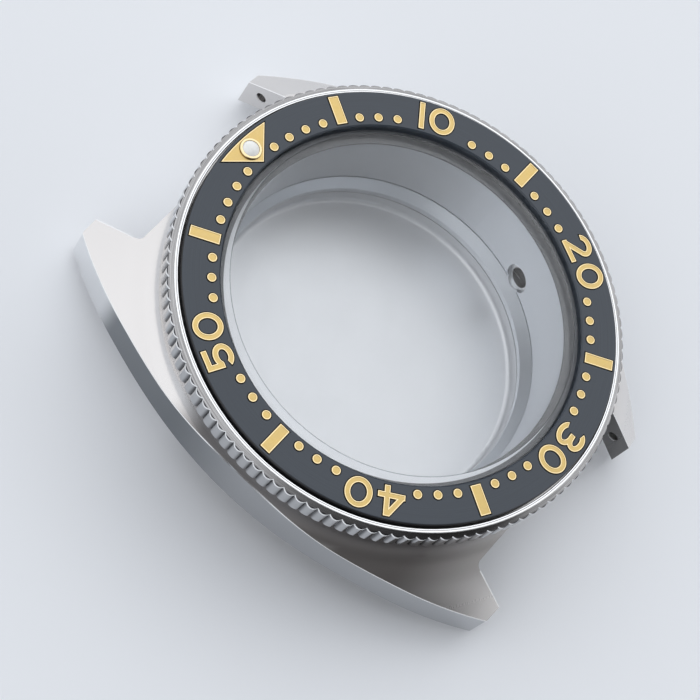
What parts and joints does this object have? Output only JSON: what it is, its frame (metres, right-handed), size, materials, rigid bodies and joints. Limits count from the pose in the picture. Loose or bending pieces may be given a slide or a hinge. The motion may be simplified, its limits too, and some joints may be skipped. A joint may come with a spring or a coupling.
{
  "type": "diver's watch case",
  "caption": "Empty steel diver's watch case with lugs, flat crystal, screwed back and a turning toothed bezel with a dark insert and gold figures.",
  "frame": {"origin": "on the case axis, on the outer face of the case back", "axes": "+Z out of the crystal, +Y to twelve o'clock, +X to three o'clock"},
  "size_m": [0.0409, 0.0458, 0.013],
  "materials": {
    "case_steel": "satin top, polished flanks",
    "back_steel": "satin",
    "tube_steel": "turned",
    "spring_steel": "rolled",
    "bezel_steel": "polished",
    "insert_grey": "dark anodised, fine satin",
    "gold": "gold plated",
    "pearl_white": "glossy luminous",
    "crystal_glass": "clear",
    "black_rubber": "matt",
    "grey_nylon": "satin",
    "dark_nylon": "matt",
    "adhesive_film": "matt film"
  },
  "bodies": {
    "case": {"mid_case": "case_steel", "crystal": "crystal_glass", "crystal_gasket": "grey_nylon", "crown_tube": "tube_steel", "crown_tube_gasket": "black_rubber", "bezel_gasket": "dark_nylon", "click_spring": "spring_steel"},
    "bezel": {"bezel_ring": "bezel_steel", "bezel_insert": "insert_grey", "insert_adhesive": "adhesive_film", "minute_bars": "gold", "minute_dots": "gold", "zero_triangle": "gold", "pearl_cup": "gold", "lume_pearl": "pearl_white", "numeral_10": "gold", "numeral_20": "gold", "numeral_30": "gold", "numeral_40": "gold", "numeral_50": "gold"},
    "back_seal": {"case_back_gasket": "black_rubber"},
    "back": {"case_back": "back_steel"}
  },
  "joints": [
    {"name": "bezel_turn", "type": "hinge", "parent": "case", "child": "bezel", "pos_m": [0, 0, 0.0113], "axis": [0, 0, 1], "continuous": true},
    {"name": "back_travel", "type": "slide", "parent": "case", "child": "back_seal", "axis": [0, 0, -1], "range_m": [0, 0.0017]},
    {"name": "back_unscrew", "type": "hinge", "parent": "back_seal", "child": "back", "pos_m": [0, 0, 0.001], "axis": [0, 0, -1], "range_deg": [0, 1220]}
  ],
  "couplings": [
    {"joint": "back_travel", "follows": "back_unscrew", "m_per_rad": 0.000079577}
  ]
}
